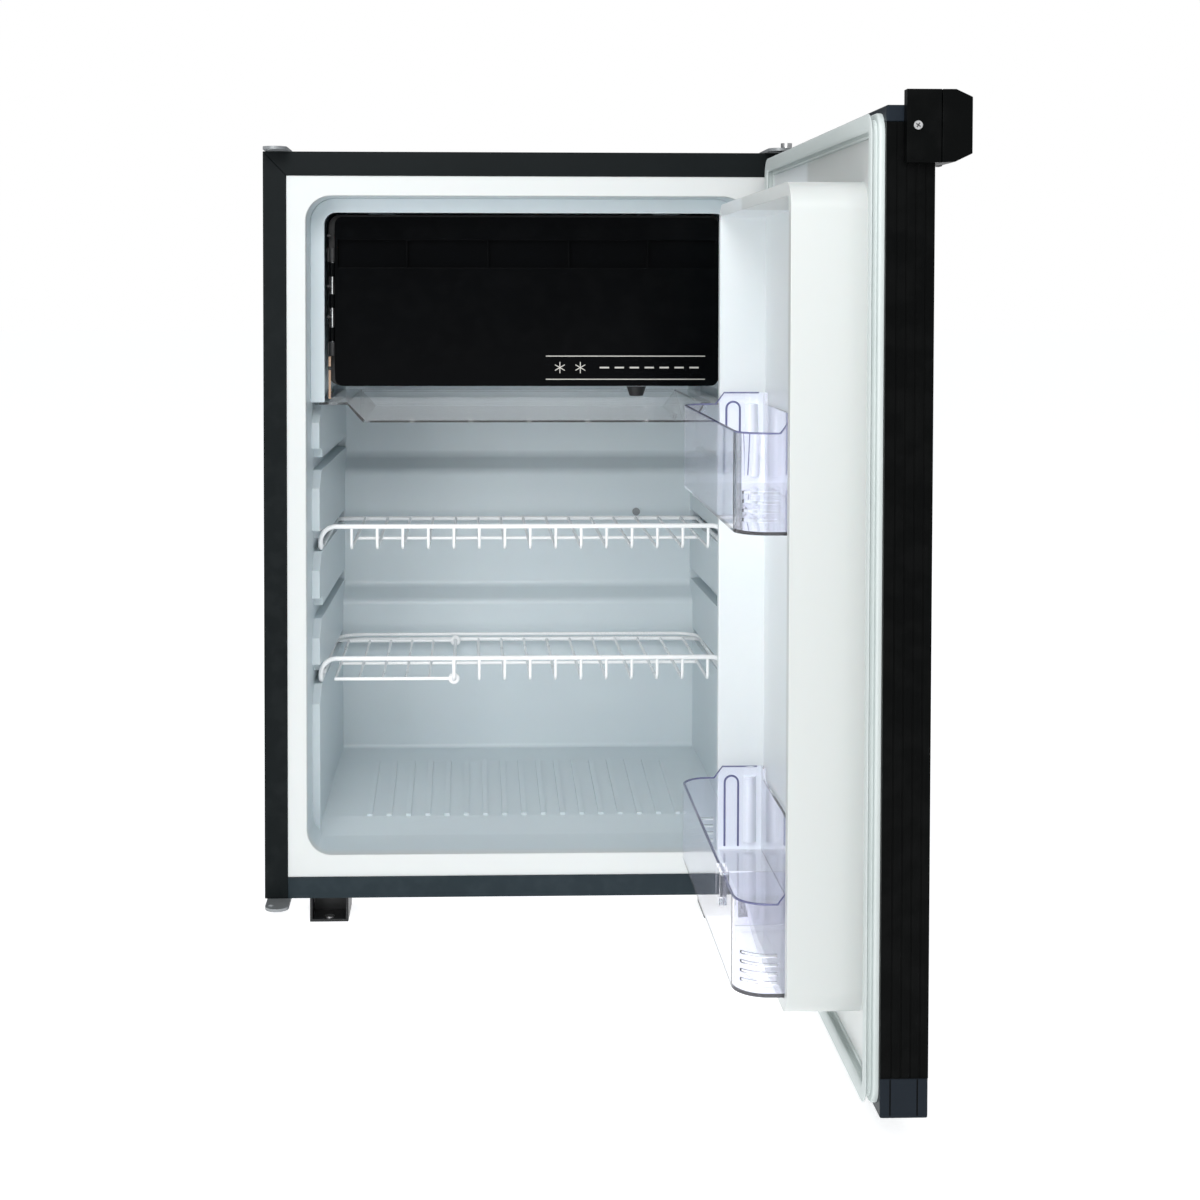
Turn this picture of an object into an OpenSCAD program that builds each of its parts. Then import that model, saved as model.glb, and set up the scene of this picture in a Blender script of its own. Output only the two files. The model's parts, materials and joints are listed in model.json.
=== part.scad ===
// Built-in compressor mini fridge, shown with its door open.
// Origin: on the floor, under the middle of the cabinet. +X right, +Y to the rear, +Z up.
// Inside the modules Y = 0 is the face of the front frame and Z = 0 the cabinet's underside,
// and the door is drawn closed. standing() and swung() put the pieces in place.

/* [Cabinet] */
// Width over the front frame
cab_w = 524; // [516:2:540]
// Height of the cabinet without its feet
cab_h = 745; // [745:1:760]
// Depth from the frame's face to the rear edge of the casing
cab_d = 512; // [508:2:540]
// Height of the foot channels
foot_h = 25; // [24:1:40]
// Sheet thickness of the casing
sheet = 1.2; // [0.8:0.1:1.6]

/* [Door] */
// Angle at which the door stands
door_angle = 90; // [0:5:130]
// Thickness from the outer face to the frame
door_t = 46; // [44:1:50]
// Width of the door
door_w = 520; // [516:1:524]
// Hinge pin radius
pin_r = 3; // [2.5:0.5:4]

/* [Inside] */
// Heights of the runners, from the drip tray down to the lower shelf
levels = [488.8, 421, 336, 266, 197.5];
// Height of the slot above each runner
slot_h = 13; // [10:1:16]
// Wire radius of the shelf frames
rail_r = 2.5; // [2:0.1:3]
// Wire radius of the shelf decks
wire_r = 1.6; // [1.2:0.1:2]
// Wall thickness of the clear plastic
clear_t = 2.5; // [2:0.1:3]

/* [Hidden] */
$fn = 48;
half_w = cab_w / 2;
frame_w = 23;             // width of the black front frame's side rails
frame_top_w = 23.8;
frame_low_w = 21.3;
frame_t = 2.5;            // its sheet with the folded edge
mouth_x = 220;            // half width of the liner's mouth
mouth_z = [43.2, 701.6];  // floor and ceiling of the mouth
inner_y = 70;             // where the narrower inner walls start
inner_x = [212, 205];     // half width of the inner walls, front and rear
back_y = [348, 375, 398]; // rear wall below, between and above the two steps
step_z = [[244, 258], [394, 411]];
floor_line = [[0, 43.2], [60, 45.5], [100, 55.5], [280, 69], [420, 69]];
flange_y = [1.5, 4.5];    // the liner's flange behind the frame
liner_x = 226;            // half width of the liner's outer side
liner_wall = 4;
slot_lead = 22;           // length of the slanted lead-in at the front of a slot
front_pocket = 98.2;      // depth of the pocket that takes a shelf's raised front rail
rib_pitch = 20.3;         // ribs on the floor
rib_w = 5.4;
wall_screw = [141, 345];
machine_y = 388;          // front wall of the machine space
machine_z = 262;          // roof of the machine space
rear_y = 440;             // rear wall above the machine space
hinge_x = 254;            // door hinge axis
hinge_y = -22;
plate_t = 3;
plate_x = [236, 259.5];   // width of a hinge plate, measured from the middle
screw_y = [13, 26];       // hinge plate screws
screw_r = 2.1;
foot_w = 38.5;
foot_l = 56;
foot_x = 198.2;
door_z = [1.5, 741.5];
rim_y = -10.5;            // inner face of the door's rim
skin = 1.5;
cap_h = [30, 12];         // bottom and top cap of the door
rim_w = 14;               // width of the door's side profiles
core_wall = 2.5;
dyke_x = [199, 210];      // inner and outer half width of the door's dyke
dyke_z = [56, 690];
dyke_y = 50;
pad_y = 6;                // the door liner's inner face between the dykes
bin_x = 195;
bin_y = [6.5, 87];
upper_bin_z = [422, 500, 511]; // underside, rim and raised end walls
lower_bin_z = [68, 140, 151];
bin_slot_y = [55, 81];    // slots through the front corners of the bins
lug_y = 20;               // the ribs that the bins hang on
lug_r = 5;
surround_y = 55;
surround_z = 493.5;
freezer_x = [-195.2, 198];
freezer_z = [510, 683];
freezer_y = 60;
freezer_pin = [-198, 64];
knuckle_r = 3.5;
arm_z = [541, 637];
door_knuckle_z = [556, 590, 622];
knuckle_h = 14;
grip_z = [631, 659.6];    // grip recess of the freezer door and the ribs in it
grip_ribs = [-121.7, -38.9, 44.1, 125.2];
evap_x = 202;
evap_y = [84, 390];
evap_z = [512, 685];
dial = [118, 110];        // thermostat shaft
shelf_x = 213;            // side rails of the shelves
shelf_front = 94.5;
bend_r = 6;               // deck wires turn up to the front rail
corner_r = 16;
upstand_h = 23;
wire_pitch = 26.68;
wire_x0 = -180.7;
wire_n = 15;
cross_y = 205;            // stiffening wire under the deck
cross_r = 1.8;
flap_wires = 4;           // deck wires that the bottle flap takes over
upper_z = levels[2] + rail_r + 0.1;
lower_z = levels[4] + rail_r + 0.1;
upper_rear = 365;
lower_rear = 335;
flap_x = wire_x0 + flap_wires * wire_pitch;
flap_left = -198;
flap_y = [103, 325];
flap_pin_r = 2;
tray_x = 214;
tray_y = [92, 380];
tray_basin_y = [100, 365];
latch_z = [699.5, 752];
latch_pivot = [-222, -54];
latch_x = [-door_w / 2 - 10, latch_pivot[0]];
clip_x = -109;            // bottle clip on the lower bin's front edge
comp = [-95, 450];        // middle of the compressor
can_r = 50;
can_half = 34;
bolt_at = [75, 42];
fan = [105, 440, 110];
hub_r = 19;
condenser_y = 460;
tube_r = 2.4;
runs = 11;
run_pitch = 38;
run_z0 = 300;
run_x = 205;
drier = [66, 484];
pan_z = [122, 150];
stub_x = [-50, 10];       // the compressor's outlet and inlet

// ---- helpers ----

module standing() translate([0, -cab_d / 2, foot_h]) children();

module swung()
    standing() translate([hinge_x, hinge_y, 0]) rotate(door_angle)
        translate([-hinge_x, -hinge_y, 0]) children();

module block(lo, hi) translate(lo) cube(hi - lo);

module rod_x(x0, x1, y, z, r) translate([x0, y, z]) rotate([0, 90, 0]) cylinder(h = x1 - x0, r = r);
module rod_y(y0, y1, x, z, r) translate([x, y0, z]) rotate([-90, 0, 0]) cylinder(h = y1 - y0, r = r);
module rod_z(z0, z1, x, y, r) translate([x, y, z0]) cylinder(h = z1 - z0, r = r);

// Flat rounded rectangle from lo to hi
module round_rect(lo, hi, r) {
    translate([lo[0] + r, lo[1]]) square([hi[0] - lo[0] - 2 * r, hi[1] - lo[1]]);
    translate([lo[0], lo[1] + r]) square([hi[0] - lo[0], hi[1] - lo[1] - 2 * r]);
    for (x = [lo[0] + r, hi[0] - r], y = [lo[1] + r, hi[1] - r]) translate([x, y]) circle(r);
}

// Extrusions of a flat shape drawn in X,Z along Y, and of one drawn in Y,Z along X
module along_y(y0, y1) translate([0, y1, 0]) rotate([90, 0, 0]) linear_extrude(y1 - y0) children();
module along_x(x0, x1)
    translate([x0, 0, 0]) rotate([90, 0, 90]) linear_extrude(x1 - x0) children();

module both_sides() for (side = [-1, 1]) scale_x(side) children();
module scale_x(side) mirror([side < 0 ? 1 : 0, 0, 0]) children();

// ---- casing and frame ----

module outer_casing() color([0.03, 0.03, 0.035]) standing() difference() {
    union() {
        both_sides() block([half_w - sheet, frame_t, 0], [half_w, cab_d, cab_h]);
        block([-half_w, frame_t, cab_h - sheet], [half_w, cab_d, cab_h]);
        both_sides() block([half_w - 14, cab_d - sheet, 0], [half_w, cab_d, cab_h]);
    }
    // air slots beside the machine space
    for (z = [70 : 18 : 214])
        block([-half_w - 1, machine_y + 30, z], [half_w + 1, cab_d - 30, z + 6]);
    hinge_screw_holes();
}

module hinge_screw_holes()
    for (side = [-1, 1], y = screw_y) rod_z(-10, cab_h + 10, side * hinge_x, y, screw_r);

module bottom_panel() color([0.55, 0.56, 0.57]) standing() difference() {
    block([-half_w + sheet, frame_t, 0], [half_w - sheet, machine_y, sheet]);
    hinge_screw_holes();
}

module rear_panel() color([0.55, 0.56, 0.57]) standing() along_x(-half_w + sheet, half_w - sheet)
    polygon([[machine_y, 0], [machine_y + sheet, 0], [machine_y + sheet, machine_z - sheet],
        [rear_y + sheet, machine_z - sheet], [rear_y + sheet, cab_h - sheet],
        [rear_y, cab_h - sheet], [rear_y, machine_z], [machine_y, machine_z]]);

// Side view of the space inside the liner, grown by t
module liner_profile(t, front) polygon([[front, mouth_z[0] - t], [back_y[0] + t, mouth_z[0] - t],
    [back_y[0] + t, step_z[0][0] - t], [back_y[1] + t, step_z[0][1] - t],
    [back_y[1] + t, step_z[1][0] - t], [back_y[2] + t, step_z[1][1] - t],
    [back_y[2] + t, mouth_z[1] + t], [front, mouth_z[1] + t]]);

module liner_body() along_x(-liner_x, liner_x) liner_profile(liner_wall, flange_y[1]);
module liner_flange(front) block([-half_w + frame_w, front, frame_low_w],
    [half_w - frame_w, flange_y[1], cab_h - frame_top_w]);

module insulation_foam() color([0.93, 0.86, 0.62]) standing() difference() {
    union() {
        block([-half_w + sheet, frame_t, sheet], [half_w - sheet, machine_y, cab_h - sheet]);
        block([-half_w + sheet, machine_y, machine_z], [half_w - sheet, rear_y, cab_h - sheet]);
    }
    liner_body();
    liner_flange(0);
    rod_y(back_y[1], back_y[1] + 8, wall_screw[0], wall_screw[1], 2.4);
}

// The front frame: mitred at the top corners, butted at the bottom ones
module frame_rail() color([0.02, 0.02, 0.022]) standing() along_y(0, frame_t) children();
module frame_stile() polygon([[-half_w, 0], [-half_w + frame_w, 0],
    [-half_w + frame_w, cab_h - frame_top_w], [-half_w, cab_h]]);

module frame_top() frame_rail() polygon([[-half_w, cab_h], [half_w, cab_h],
    [half_w - frame_w, cab_h - frame_top_w], [-half_w + frame_w, cab_h - frame_top_w]]);
module frame_bottom() frame_rail()
    translate([-half_w + frame_w, 0]) square([cab_w - 2 * frame_w, frame_low_w]);
module frame_left() frame_rail() frame_stile();
module frame_right() frame_rail() mirror([1, 0]) frame_stile();

// ---- liner ----

// Space between the side walls, narrower to the rear
module inner_space() intersection() {
    translate([0, 0, mouth_z[0]]) linear_extrude(mouth_z[1] - mouth_z[0])
        polygon([[-inner_x[0], inner_y], [-inner_x[1], back_y[2]],
            [inner_x[1], back_y[2]], [inner_x[0], inner_y]]);
    along_x(-mouth_x, mouth_x) liner_profile(0, inner_y);
}

module runner_slot(z, deep) {
    block([-mouth_x, inner_y - 1, z], [mouth_x, deep, z + slot_h]);
    along_x(-mouth_x, mouth_x) polygon([[inner_y - 1, z - 18], [inner_y + slot_lead, z],
        [front_pocket, z], [front_pocket, z + slot_h + 9.5], [inner_y - 1, z + slot_h + 11]]);
}

module liner_space() difference() {
    union() {
        along_y(-1, inner_y) round_rect([-mouth_x, mouth_z[0]], [mouth_x, mouth_z[1]], 25);
        inner_space();
        for (z = levels)
            runner_slot(z, back_y[z < step_z[0][0] ? 0 : z < step_z[1][0] ? 1 : 2] - 4);
    }
    along_x(-liner_x, liner_x) polygon(concat(floor_line, [[420, 0], [0, 0]]));
}

module floor_ribs() {
    low = floor_line[2];
    high = floor_line[3];
    angle = atan2(high[1] - low[1], high[0] - low[0]);
    for (i = [-8 : 8]) translate([i * rib_pitch - rib_w / 2, low[0], low[1] - 1])
        rotate([angle, 0, 0]) cube([rib_w, norm(high - low), 3.4]);
}

module inner_liner() color([0.92, 0.94, 0.95]) standing() {
    difference() {
        union() {
            liner_body();
            liner_flange(flange_y[0]);
        }
        liner_space();
        rod_y(back_y[1] - 1, back_y[1] + 8, wall_screw[0], wall_screw[1], 1.8);
    }
    floor_ribs();
}

module rear_wall_screw() color([0.5, 0.5, 0.5]) standing() {
    rod_y(back_y[1] - 2.4, back_y[1], wall_screw[0], wall_screw[1], 4.5);
    rod_y(back_y[1], back_y[1] + liner_wall, wall_screw[0], wall_screw[1], 1.8);
}

// ---- freezer ----

module freezer_surround() color([0.93, 0.95, 0.96]) standing() along_y(surround_y, surround_y + 3)
    difference() {
        intersection() {
            round_rect([-mouth_x, 300], [mouth_x, mouth_z[1]], 25.5);
            translate([-mouth_x, surround_z]) square([2 * mouth_x, 300]);
        }
        round_rect([-205.5, 300], [205.5, 687], 12);
    }

module evaporator_box() color([0.72, 0.74, 0.76]) standing() difference() {
    along_y(evap_y[0], evap_y[1]) round_rect([-evap_x, evap_z[0]], [evap_x, evap_z[1]], 10);
    along_y(evap_y[0] - 1, evap_y[1] - 1.5)
        round_rect([-evap_x + 1.5, evap_z[0] + 1.5], [evap_x - 1.5, evap_z[1] - 1.5], 8.5);
}

module evaporator_hangers() color([0.85, 0.86, 0.88]) standing()
    for (x = [-150, 150], y = [130, 340])
        block([x - 14, y - 10, evap_z[1]], [x + 14, y + 10, mouth_z[1]]);

module freezer_front_frame() color([0.03, 0.03, 0.03]) standing() along_y(78, evap_y[0]) difference() {
    round_rect([-203, 510], [203, 686], 12);
    round_rect([-196, 518], [196, 678], 8);
}

// Each arm carries a knuckle; the door's own knuckles sit between the two
module freezer_hinge_arms() color([0.05, 0.05, 0.05]) standing()
    for (z = arm_z) difference() {
        union() {
            rod_z(z, z + knuckle_h, freezer_pin[0], freezer_pin[1], knuckle_r);
            block([-203, freezer_pin[1], z], [-196.4, 78, z + knuckle_h]);
        }
        rod_z(z - 1, z + knuckle_h + 1, freezer_pin[0], freezer_pin[1], 1.5);
    }

module freezer_hinge_pin() color([0.7, 0.7, 0.7]) standing()
    rod_z(arm_z[0], arm_z[1] + knuckle_h, freezer_pin[0], freezer_pin[1], 1.5);

module freezer_door() color([0.02, 0.02, 0.025]) standing() difference() {
    union() {
        along_y(freezer_y, freezer_y + 16)
            round_rect([freezer_x[0], freezer_z[0]], [freezer_x[1], freezer_z[1]], 8);
        for (z = door_knuckle_z)
            rod_z(z, z + knuckle_h, freezer_pin[0], freezer_pin[1], knuckle_r);
    }
    // full-width grip recess, with ribs left standing in it
    difference() {
        block([freezer_x[0] + 3, freezer_y - 1, grip_z[0]],
            [freezer_x[1] - 3, freezer_y + 8, grip_z[1]]);
        for (x = grip_ribs) block([x - 0.8, freezer_y + 1, 0], [x + 0.8, freezer_y + 9, cab_h]);
    }
    rod_z(door_knuckle_z[0] - 1, door_knuckle_z[2] + 20, freezer_pin[0], freezer_pin[1], 1.55);
    // room for the fixed knuckles
    for (z = arm_z) rod_z(z - 0.5, z + knuckle_h + 0.5, freezer_pin[0], freezer_pin[1], 4);
}

module freezer_door_inner() color([0.85, 0.87, 0.88]) standing() difference() {
    along_y(freezer_y + 16, freezer_y + 22) round_rect([-190, 524], [190, 672], 8);
    along_y(freezer_y + 19, freezer_y + 23) round_rect([-180, 534], [180, 662], 6);
}

module thermostat_housing() color([0.9, 0.91, 0.92]) standing() {
    block([98, 96, 508], [142, 160, evap_z[0]]);
    rod_z(499.4, 508, dial[0], dial[1], 3);
}

module thermostat_knob() color([0.03, 0.03, 0.03]) standing() difference() {
    translate([dial[0], dial[1], 497.3]) cylinder(h = 10.4, r1 = 7, r2 = 10.5);
    rod_z(499.2, 509, dial[0], dial[1], 3.05);
}

module tray_basin(t) polygon([[-169 + t, 470 + t], [173 - t, 470 + t], [190 - t, 494], [-190 + t, 494]]);

module drip_tray() color([0.85, 0.9, 0.95, 0.4]) standing() difference() {
    union() {
        block([-tray_x, tray_y[0], 489], [tray_x, tray_y[1], 491.5]);
        block([-evap_x, tray_y[0], 489], [evap_x, tray_y[0] + 2.5, 496.5]);
        intersection() {
            along_y(tray_basin_y[0], tray_basin_y[1]) tray_basin(0);
            block([-200, 0, 460], [200, 400, 491.5]);
        }
    }
    along_y(tray_basin_y[0] + 2, tray_basin_y[1] - 2) tray_basin(2);
    // drain slots at both ends of the flange
    for (x = [-206, 196], y = [112 : 12 : 340]) block([x, y, 480], [x + 10, y + 4, 493]);
}

// ---- shelves ----

// Quarter bend of a wire in the Y,Z plane, from straight up to straight back
module bend_yz(x, y, z, bend, r) translate([x, y + bend, z + bend]) rotate([90, 0, 90])
    rotate([0, 0, 180]) rotate_extrude(angle = 90) translate([bend, 0]) circle(r);

// Wire that comes down from the front rail and runs back along the deck
module deck_wire(x, z, rear, r) {
    rod_y(shelf_front + bend_r, rear, x, z, r);
    rod_z(z + bend_r, z + upstand_h, x, shelf_front, r);
    bend_yz(x, shelf_front, z, bend_r, r);
}

// Side and rear rails, with a raised front rail bent down at both ends
module shelf_frame(z, rear) {
    both_sides() {
        rod_y(shelf_front + bend_r, rear - corner_r, shelf_x, z, rail_r);
        rod_z(z + bend_r, z + upstand_h - corner_r, shelf_x, shelf_front, rail_r);
        bend_yz(shelf_x, shelf_front, z, bend_r, rail_r);
        translate([shelf_x - corner_r, rear - corner_r, z])
            rotate_extrude(angle = 90) translate([corner_r, 0]) circle(rail_r);
        translate([shelf_x - corner_r, shelf_front, z + upstand_h - corner_r]) rotate([90, 0, 0])
            rotate_extrude(angle = 90) translate([corner_r, 0]) circle(rail_r);
    }
    rod_x(-shelf_x + corner_r, shelf_x - corner_r, rear, z, rail_r);
    rod_x(-shelf_x + corner_r, shelf_x - corner_r, shelf_front, z + upstand_h, rail_r);
}

// Stiffening wire under the deck
module cross_wire(x0, z) rod_x(x0, wire_x0 + (wire_n - 1) * wire_pitch + 3, cross_y, z - 3.2, cross_r);

module upper_shelf() color([0.96, 0.97, 0.98]) standing() {
    shelf_frame(upper_z, upper_rear);
    for (i = [0 : wire_n - 1]) deck_wire(wire_x0 + i * wire_pitch, upper_z, upper_rear, wire_r);
    cross_wire(wire_x0 - 3, upper_z);
}

module lower_shelf() color([0.96, 0.97, 0.98]) standing() {
    shelf_frame(lower_z, lower_rear);
    deck_wire(flap_x, lower_z, lower_rear, flap_pin_r);
    for (i = [flap_wires + 1 : wire_n - 1])
        deck_wire(wire_x0 + i * wire_pitch, lower_z, lower_rear, wire_r);
    cross_wire(flap_left - 3, lower_z);
}

module bottle_flap() color([0.96, 0.97, 0.98]) standing() difference() {
    union() {
        for (y = flap_y) {
            rod_x(flap_left - 1.3, flap_x - 3, y, lower_z, 1.9);
            rod_y(y - 2.5, y + 2.5, flap_x, lower_z, 4.2);
        }
        for (i = [0 : flap_wires])
            rod_y(flap_y[0], flap_y[1], flap_left + i * 24.6, lower_z, 1.4);
    }
    rod_y(flap_y[0] - 4, flap_y[1] + 4, flap_x, lower_z, flap_pin_r + 0.3);
}

// ---- hinges and feet ----

module plate_pair() for (z = [-plate_t, cab_h]) difference() {
    union() {
        block([plate_x[0], hinge_y, z], [plate_x[1], 36, z + plate_t]);
        rod_z(z, z + plate_t, (plate_x[0] + plate_x[1]) / 2, hinge_y, (plate_x[1] - plate_x[0]) / 2);
    }
    rod_z(z - 1, z + plate_t + 1, hinge_x, hinge_y, pin_r + 0.05);
    hinge_screw_holes();
}

module hinge_plates() color([0.35, 0.36, 0.38]) standing() plate_pair();
module spare_hinge_plates() color([0.35, 0.36, 0.38]) standing() mirror([1, 0, 0]) plate_pair();

// Headed pins: the head is outside the plate and the end goes into the door's caps
module hinge_pins() color([0.75, 0.76, 0.78]) standing() {
    rod_z(cab_h - 12, cab_h + plate_t, hinge_x, hinge_y, pin_r);
    rod_z(cab_h + plate_t, cab_h + plate_t + 5, hinge_x, hinge_y, 5.5);
    rod_z(-plate_t, 12, hinge_x, hinge_y, pin_r);
    rod_z(-plate_t - 3, -plate_t, hinge_x, hinge_y, 5.5);
}

module hinge_plate_screws() color([0.7, 0.7, 0.72]) standing() for (side = [-1, 1], y = screw_y) {
    rod_z(cab_h + plate_t, cab_h + plate_t + 2.4, side * hinge_x, y, 4);
    rod_z(cab_h - sheet, cab_h + plate_t, side * hinge_x, y, screw_r);
    rod_z(-plate_t - 2.4, -plate_t, side * hinge_x, y, 4);
    rod_z(-plate_t, sheet, side * hinge_x, y, screw_r);
}

// A U channel on end under each corner, with a fixing hole in its bottom
module foot() difference() {
    block([-foot_w / 2, 0, -foot_h], [foot_w / 2, foot_l, 0]);
    block([-foot_w / 2 + 2.5, -1, -foot_h + 2.5], [foot_w / 2 - 2.5, foot_l + 1, 1]);
    rod_z(-foot_h - 1, -foot_h + 4, 0, 8, 3.5);
}

module feet() color([0.03, 0.03, 0.03]) standing()
    for (x = [-foot_x, foot_x], y = [4, cab_d - foot_l - 4]) translate([x, y, 0]) foot();

// ---- machine space ----

module base_plate() color([0.5, 0.51, 0.53]) standing() difference() {
    block([-half_w + sheet, machine_y + sheet, 0], [half_w - sheet, cab_d - sheet, 2]);
    for (x = [-1, 1], y = [-1, 1])
        rod_z(-1, 3, comp[0] + x * bolt_at[0], comp[1] + y * bolt_at[1], 3);
}

module can_outline(grow) {
    square([2 * can_half, 2 * (can_r + grow)], center = true);
    for (side = [-1, 1]) translate([side * can_half, 0]) circle(can_r + grow);
}

// An oval can in two halves with a weld flange, on two foot straps
module compressor() color([0.04, 0.04, 0.045]) standing() translate([comp[0], comp[1], 0]) {
    translate([0, 0, 24]) linear_extrude(92) can_outline(0);
    translate([0, 0, 66]) linear_extrude(5) can_outline(4);
    translate([0, 0, 116]) linear_extrude(6) can_outline(-9);
    for (x = stub_x) rod_y(30, 52, x, 60, 4);
    difference() {
        for (y = [-1, 1]) translate([0, y * bolt_at[1], 0]) block([-86, -9, 20], [86, 9, 24]);
        for (x = [-1, 1], y = [-1, 1]) rod_z(10, 30, x * bolt_at[0], y * bolt_at[1], 5);
    }
}

module compressor_grommets() color([0.03, 0.03, 0.03]) standing() for (x = [-1, 1], y = [-1, 1])
    translate([comp[0] + x * bolt_at[0], comp[1] + y * bolt_at[1], 0]) difference() {
        union() {
            rod_z(2, 20, 0, 0, 8);
            rod_z(20, 24, 0, 0, 5);
        }
        rod_z(1, 28, 0, 0, 3);
    }

module compressor_bolts() color([0.75, 0.75, 0.77]) standing() for (x = [-1, 1], y = [-1, 1])
    translate([comp[0] + x * bolt_at[0], comp[1] + y * bolt_at[1], 0]) {
        rod_z(0, 24, 0, 0, 3);
        rod_z(24, 28, 0, 0, 6);
    }

module controller_box() color([0.06, 0.06, 0.07]) standing() difference() {
    block([2, 400, 2], [38, 480, 92]);
    for (z = [14 : 9 : 77]) block([8, 478, z], [32, 481, z + 3]);
}

// Tube runs joined by return bends, with wires across them
module condenser() color([0.03, 0.03, 0.03]) standing() {
    for (i = [0 : runs - 1]) rod_x(-run_x, run_x, condenser_y, run_z0 + i * run_pitch, tube_r);
    for (i = [0 : runs - 2]) scale_x(i % 2 == 0 ? 1 : -1)
        translate([run_x, condenser_y, run_z0 + (i + 0.5) * run_pitch]) rotate([90, 0, 0])
            rotate([0, 0, -90]) rotate_extrude(angle = 180) translate([run_pitch / 2, 0]) circle(tube_r);
    for (x = [-190 : 19 : 190])
        rod_z(run_z0 - 6, run_z0 + (runs - 1) * run_pitch + 6, x, condenser_y + 2.8, 0.8);
}

module condenser_brackets() color([0.1, 0.1, 0.1]) standing()
    for (x = [-199, 199], i = [0, 9]) difference() {
        block([x - 4, rear_y + sheet, run_z0 + i * run_pitch - 8],
            [x + 4, condenser_y, run_z0 + (i + 1) * run_pitch + 8]);
        for (k = [0, 1])
            rod_x(x - 5, x + 5, condenser_y, run_z0 + (i + k) * run_pitch, tube_r);
    }

module filter_drier() color([0.72, 0.45, 0.25]) standing() translate([drier[0], drier[1], 0]) {
    rod_z(180, 235, 0, 0, 9);
    translate([0, 0, 235]) cylinder(h = 10, r1 = 9, r2 = 3);
    translate([0, 0, 170]) cylinder(h = 10, r1 = 3, r2 = 9);
}

// Pipe through corner points, made of straight runs and round joints
module pipe(points, r) for (i = [0 : len(points) - 2]) {
    d = points[i + 1] - points[i];
    translate(points[i]) rotate([0, acos(d[2] / norm(d)), atan2(d[1], d[0])])
        cylinder(h = norm(d), r = r, $fn = 16);
    if (i > 0) translate(points[i]) sphere(r * 1.1, $fn = 16);
}

// From the compressor to the condenser, and from there to the drier
module hot_gas_tube() color([0.72, 0.45, 0.25]) standing() {
    pipe([[comp[0] + stub_x[0], 502, 60], [comp[0] + stub_x[0], 506, 60],
        [comp[0] + stub_x[0], 506, 270], [-232, 506, 270], [-232, condenser_y, 300],
        [-run_x, condenser_y, 300]], 2.2);
    pipe([[drier[0], drier[1], 245], [drier[0], drier[1], 264], [236, drier[1], 264],
        [236, drier[1], 660], [236, condenser_y, 680], [run_x, condenser_y, 680]], 2.2);
}

module suction_tube() color([0.72, 0.45, 0.25]) standing()
    pipe([[comp[0] + stub_x[1], 502, 60], [comp[0] + stub_x[1], 507.6, 60],
        [comp[0] + stub_x[1], 507.6, 285], [10, 470, 285], [10, rear_y + sheet, 285]], 3);

module capillary_tube() color([0.72, 0.45, 0.25]) standing()
    pipe([[drier[0], drier[1], 170], [drier[0], drier[1], 164], [96, 470, 164],
        [96, 470, 290], [96, rear_y + sheet, 290]], 1.2);

module fan_housing() color([0.05, 0.05, 0.05]) standing() translate(fan) {
    difference() {
        block([-54, -12, -54], [54, 13, 54]);
        rod_y(-13, 14, 0, 0, 50);
    }
    rod_y(-12, -8, 0, 0, 20);
    for (a = [0, 90, 180, 270]) rotate([0, a, 0]) block([15, -12, -2.5], [52, -8, 2.5]);
    rod_y(-8, 8, 0, 0, 3);
    for (x = [-40, 40]) block([x - 6, -12, 2 - fan[2]], [x + 6, -2, -54]);
}

module fan_rotor() color([0.12, 0.12, 0.12]) standing() translate(fan) {
    difference() {
        rod_y(-6, 9.5, 0, 0, hub_r);
        rod_y(-7, 8.2, 0, 0, 3.06);
    }
    for (i = [0 : 6]) rotate([0, i * 360 / 7, 0]) translate([hub_r - 2, 1.5, 0])
        rotate([32, 0, 0]) block([0, -1, -8], [30, 1, 8]);
}

module power_inlet() color([0.08, 0.08, 0.08]) standing() difference() {
    block([190, 460, 150], [half_w - sheet, cab_d - sheet, 215]);
    block([202, 490, 164], [236, cab_d, 188]);
}

module evaporation_pan() color([0.12, 0.12, 0.13]) standing() difference() {
    block([comp[0] - 70, 402, pan_z[0]], [comp[0] + 60, 494, pan_z[1]]);
    block([comp[0] - 68, 404, pan_z[0] + 2], [comp[0] + 58, 492, pan_z[1] + 1]);
}

module drain_tube() color([0.8, 0.82, 0.84]) standing() difference() {
    rod_y(machine_y + sheet, 425, comp[0], pan_z[1] + 12, 7);
    rod_y(machine_y, 426, comp[0], pan_z[1] + 12, 5);
}

// ---- door ----

module door_panel() color([0.02, 0.02, 0.022]) swung()
    block([-door_w / 2 + rim_w, -door_t, door_z[0] + cap_h[0]],
        [door_w / 2 - rim_w, -door_t + skin, door_z[1] - cap_h[1]]);

module door_core() along_y(rim_y - 1, pad_y - core_wall)
    round_rect([-dyke_x[1] + core_wall, dyke_z[0] + core_wall],
        [dyke_x[1] - core_wall, dyke_z[1] - core_wall], 20);

module door_foam() color([0.93, 0.86, 0.62]) swung() {
    block([-door_w / 2 + rim_w, -door_t + skin, door_z[0] + cap_h[0]],
        [door_w / 2 - rim_w, rim_y, door_z[1] - cap_h[1]]);
    door_core();
}

// Side profile with fine grooves along its edge
module door_profile() difference() {
    block([-door_w / 2, -door_t, door_z[0] + cap_h[0]],
        [-door_w / 2 + rim_w, rim_y, door_z[1] - cap_h[1]]);
    for (y = [-40, -33, -26, -19])
        block([-door_w / 2 - 1, y, 0], [-door_w / 2 + 0.6, y + 1, cab_h]);
}

module door_profile_free() color([0.03, 0.03, 0.032]) swung() door_profile();
module door_profile_hinge() color([0.03, 0.03, 0.032]) swung() mirror([1, 0, 0]) door_profile();

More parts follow.
